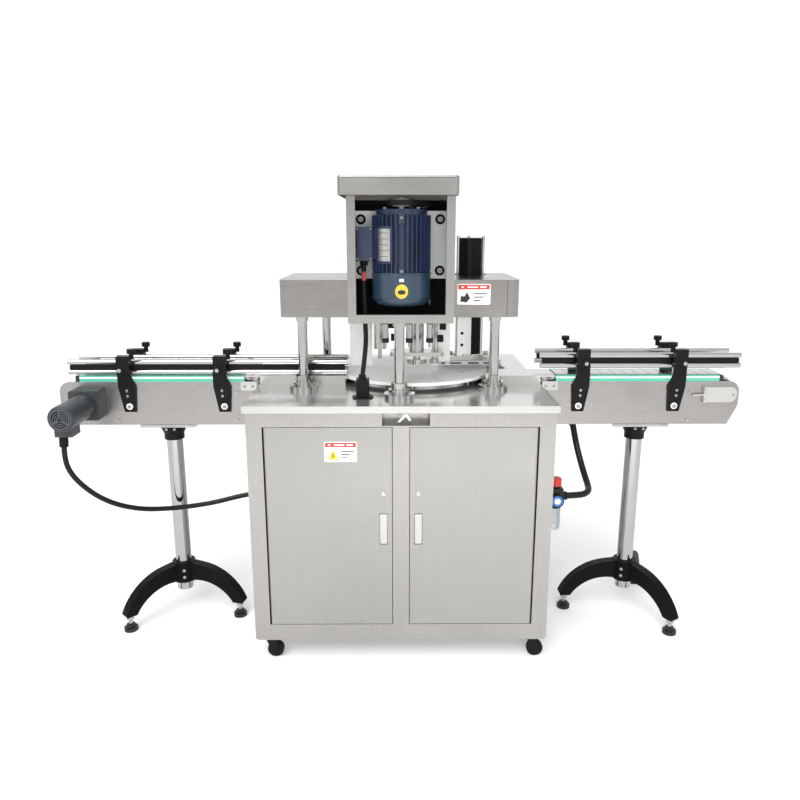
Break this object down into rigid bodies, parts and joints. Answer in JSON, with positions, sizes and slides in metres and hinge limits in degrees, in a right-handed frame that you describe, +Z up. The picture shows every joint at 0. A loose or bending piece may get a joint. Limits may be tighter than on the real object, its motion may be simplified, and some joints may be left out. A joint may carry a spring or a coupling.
{
  "type": "capping machine",
  "caption": "Rotary capping machine: stainless cabinet on castors, turntable, seaming head with upright motor, lid magazine, infeed and outfeed chain conveyors on tripods",
  "frame": {"origin": "on the floor under the middle of the machine's bounding box", "axes": "+X along the conveyors from infeed to outfeed, +Y from the doors to the rear, +Z up"},
  "size_m": [2.17, 0.86, 1.435],
  "materials": {
    "air_hose": "black sheath",
    "bridge_casing": "brushed, satin",
    "cabinet_frame": "brushed, satin",
    "cabinet_panels": "brushed, satin",
    "cable_glands": "moulded, satin black",
    "columns": "polished",
    "conveyor_chains": "pale acetal slats",
    "conveyor_gearbox": "dark grey enamel",
    "conveyor_side_plates": "brushed, satin",
    "deck_plate": "brushed, satin",
    "door_hinge_pins": "polished",
    "drive_belt": "matte black",
    "drive_gearbox": "hammered blue paint",
    "drive_sprocket": "brushed, satin",
    "fan_cover": "gloss blue grey enamel",
    "fasteners": "polished",
    "filter_regulator": "black body with a clear bowl",
    "front_left_castor_fork": "zinc plated",
    "front_left_castor_wheel": "black tread",
    "front_right_castor_fork": "zinc plated",
    "front_right_castor_wheel": "black tread",
    "gearmotor": "dark grey enamel",
    "gearmotor_cable": "black sheath",
    "guide_brackets": "moulded, satin black",
    "idler_sprocket": "brushed, satin",
    "left_door": "brushed, satin",
    "left_door_handle": "polished",
    "left_front_guide_rail": "polished",
    "left_rear_guide_rail": "polished",
    "left_roller_arm": "brushed, satin",
    "leg_heads": "moulded, satin black",
    "leg_tubes": "polished",
    "levelling_feet": "black pad on a plated stem",
    "lid_magazine": "polished",
    "lid_pusher": "brushed, satin",
    "lid_stack": "lacquered black lids",
    "motor_body": "gloss navy enamel",
    "motor_conduit": "black sheath",
    "motor_frame": "brushed, satin",
    "motor_plate": "light grey paint",
    "motor_rotor": "brushed, satin",
    "rear_left_castor_fork": "zinc plated",
    "rear_left_castor_wheel": "black tread",
    "rear_right_castor_fork": "zinc plated",
    "rear_right_castor_wheel": "black tread",
    "regulator_knob": "red",
    "right_door": "brushed, satin",
    "right_door_handle": "polished",
    "right_front_guide_rail": "polished",
    "right_rear_guide_rail": "polished",
    "right_roller_arm": "brushed, satin",
    "seaming_head": "brushed, satin",
    "seaming_spindle": "brushed, satin",
    "table_base": "polished",
    "take_up_plate": "satin",
    "top_cap": "brushed, satin",
    "transfer_plates": "brushed, satin",
    "tripod_bases": "glass filled nylon, satin black",
    "turntable": "machined white nylon",
    "wear_strips": "green polyethylene"
  },
  "bodies": {
    "machine": {"air_hose": "air_hose", "bridge_casing": "bridge_casing", "cabinet_frame": "cabinet_frame", "cabinet_panels": "cabinet_panels", "cable_glands": "cable_glands", "columns": "columns", "conveyor_chains": "conveyor_chains", "conveyor_gearbox": "conveyor_gearbox", "conveyor_side_plates": "conveyor_side_plates", "deck_plate": "deck_plate", "door_hinge_pins": "door_hinge_pins", "drive_belt": "drive_belt", "drive_gearbox": "drive_gearbox", "fan_cover": "fan_cover", "fasteners": "fasteners", "filter_regulator": "filter_regulator", "gearmotor": "gearmotor", "gearmotor_cable": "gearmotor_cable", "guide_brackets": "guide_brackets", "leg_heads": "leg_heads", "leg_tubes": "leg_tubes", "levelling_feet": "levelling_feet", "lid_magazine": "lid_magazine", "lid_stack": "lid_stack", "motor_body": "motor_body", "motor_conduit": "motor_conduit", "motor_frame": "motor_frame", "motor_plate": "motor_plate", "seaming_head": "seaming_head", "table_base": "table_base", "top_cap": "top_cap", "transfer_plates": "transfer_plates", "tripod_bases": "tripod_bases", "wear_strips": "wear_strips"},
    "left_door": {"left_door": "left_door"},
    "right_door": {"right_door": "right_door"},
    "left_door_handle": {"left_door_handle": "left_door_handle"},
    "right_door_handle": {"right_door_handle": "right_door_handle"},
    "turntable": {"turntable": "turntable"},
    "motor_rotor": {"motor_rotor": "motor_rotor"},
    "seaming_spindle": {"seaming_spindle": "seaming_spindle"},
    "left_roller_arm": {"left_roller_arm": "left_roller_arm"},
    "right_roller_arm": {"right_roller_arm": "right_roller_arm"},
    "lid_pusher": {"lid_pusher": "lid_pusher"},
    "drive_sprocket": {"drive_sprocket": "drive_sprocket"},
    "idler_sprocket": {"idler_sprocket": "idler_sprocket"},
    "take_up_plate": {"take_up_plate": "take_up_plate"},
    "regulator_knob": {"regulator_knob": "regulator_knob"},
    "front_left_castor_fork": {"front_left_castor_fork": "front_left_castor_fork"},
    "front_left_castor_wheel": {"front_left_castor_wheel": "front_left_castor_wheel"},
    "front_right_castor_fork": {"front_right_castor_fork": "front_right_castor_fork"},
    "front_right_castor_wheel": {"front_right_castor_wheel": "front_right_castor_wheel"},
    "left_front_guide_rail": {"left_front_guide_rail": "left_front_guide_rail"},
    "left_rear_guide_rail": {"left_rear_guide_rail": "left_rear_guide_rail"},
    "rear_left_castor_fork": {"rear_left_castor_fork": "rear_left_castor_fork"},
    "rear_left_castor_wheel": {"rear_left_castor_wheel": "rear_left_castor_wheel"},
    "rear_right_castor_fork": {"rear_right_castor_fork": "rear_right_castor_fork"},
    "rear_right_castor_wheel": {"rear_right_castor_wheel": "rear_right_castor_wheel"},
    "right_front_guide_rail": {"right_front_guide_rail": "right_front_guide_rail"},
    "right_rear_guide_rail": {"right_rear_guide_rail": "right_rear_guide_rail"}
  },
  "joints": [
    {"name": "left_door_swing", "type": "hinge", "parent": "machine", "child": "left_door", "pos_m": [-0.386, -0.412, 0.437], "axis": [0, 0, -1], "range_deg": [0, 92]},
    {"name": "right_door_swing", "type": "hinge", "parent": "machine", "child": "right_door", "pos_m": [0.386, -0.412, 0.437], "axis": [0, 0, 1], "range_deg": [0, 92]},
    {"name": "left_handle_lift", "type": "hinge", "parent": "left_door", "child": "left_door_handle", "pos_m": [-0.051, -0.415, 0.476], "axis": [-1, 0, 0], "range_deg": [0, 40]},
    {"name": "right_handle_lift", "type": "hinge", "parent": "right_door", "child": "right_door_handle", "pos_m": [0.051, -0.415, 0.476], "axis": [-1, 0, 0], "range_deg": [0, 40]},
    {"name": "front_left_castor_swivel", "type": "hinge", "parent": "machine", "child": "front_left_castor_fork", "pos_m": [-0.402, -0.382, 0.07], "axis": [0, 0, 1], "continuous": true},
    {"name": "front_left_castor_roll", "type": "hinge", "parent": "front_left_castor_fork", "child": "front_left_castor_wheel", "pos_m": [-0.388, -0.382, 0.025], "axis": [0, 1, 0], "continuous": true},
    {"name": "front_right_castor_swivel", "type": "hinge", "parent": "machine", "child": "front_right_castor_fork", "pos_m": [0.402, -0.382, 0.07], "axis": [0, 0, 1], "continuous": true},
    {"name": "front_right_castor_roll", "type": "hinge", "parent": "front_right_castor_fork", "child": "front_right_castor_wheel", "pos_m": [0.416, -0.382, 0.025], "axis": [0, 1, 0], "continuous": true},
    {"name": "rear_left_castor_swivel", "type": "hinge", "parent": "machine", "child": "rear_left_castor_fork", "pos_m": [-0.402, 0.382, 0.07], "axis": [0, 0, 1], "continuous": true},
    {"name": "rear_left_castor_roll", "type": "hinge", "parent": "rear_left_castor_fork", "child": "rear_left_castor_wheel", "pos_m": [-0.388, 0.382, 0.025], "axis": [0, 1, 0], "continuous": true},
    {"name": "rear_right_castor_swivel", "type": "hinge", "parent": "machine", "child": "rear_right_castor_fork", "pos_m": [0.402, 0.382, 0.07], "axis": [0, 0, 1], "continuous": true},
    {"name": "rear_right_castor_roll", "type": "hinge", "parent": "rear_right_castor_fork", "child": "rear_right_castor_wheel", "pos_m": [0.416, 0.382, 0.025], "axis": [0, 1, 0], "continuous": true},
    {"name": "turntable_spin", "type": "hinge", "parent": "machine", "child": "turntable", "pos_m": [0.045, -0.013, 0.835], "axis": [0, 0, 1], "continuous": true},
    {"name": "spindle_spin", "type": "hinge", "parent": "machine", "child": "seaming_spindle", "pos_m": [0.053, -0.088, 1.36], "axis": [0, 0, 1], "continuous": true},
    {"name": "motor_spin", "type": "hinge", "parent": "machine", "child": "motor_rotor", "pos_m": [0.002, -0.28, 1.36], "axis": [0, 0, 1], "continuous": true},
    {"name": "left_arm_swing", "type": "hinge", "parent": "machine", "child": "left_roller_arm", "pos_m": [-0.017, -0.056, 0.894], "axis": [0, 0, 1], "range_deg": [0, 12]},
    {"name": "right_arm_swing", "type": "hinge", "parent": "machine", "child": "right_roller_arm", "pos_m": [0.123, -0.056, 0.894], "axis": [0, 0, -1], "range_deg": [0, 12]},
    {"name": "lid_push", "type": "slide", "parent": "machine", "child": "lid_pusher", "axis": [-1, 0, 0], "range_m": [0, 0.05]},
    {"name": "drive_sprocket_spin", "type": "hinge", "parent": "machine", "child": "drive_sprocket", "pos_m": [-0.985, -0.088, 0.778], "axis": [0, 1, 0], "continuous": true},
    {"name": "take_up_slide", "type": "slide", "parent": "machine", "child": "take_up_plate", "axis": [-1, 0, 0], "range_m": [0, 0.015]},
    {"name": "idler_sprocket_spin", "type": "hinge", "parent": "take_up_plate", "child": "idler_sprocket", "pos_m": [1.012, -0.088, 0.778], "axis": [0, 1, 0], "continuous": true},
    {"name": "left_front_rail_set", "type": "slide", "parent": "machine", "child": "left_front_guide_rail", "axis": [0, 1, 0], "range_m": [0, 0.025]},
    {"name": "left_rear_rail_set", "type": "slide", "parent": "machine", "child": "left_rear_guide_rail", "axis": [0, -1, 0], "range_m": [0, 0.025]},
    {"name": "right_front_rail_set", "type": "slide", "parent": "machine", "child": "right_front_guide_rail", "axis": [0, 1, 0], "range_m": [0, 0.025]},
    {"name": "right_rear_rail_set", "type": "slide", "parent": "machine", "child": "right_rear_guide_rail", "axis": [0, -1, 0], "range_m": [0, 0.025]},
    {"name": "regulator_turn", "type": "hinge", "parent": "machine", "child": "regulator_knob", "pos_m": [0.474, -0.31, 0.54], "axis": [0, 0, 1], "range_deg": [-270, 270]}
  ],
  "couplings": [
    {"joint": "motor_spin", "follows": "spindle_spin", "ratio": 1.5789},
    {"joint": "right_arm_swing", "follows": "left_arm_swing", "ratio": 1}
  ]
}
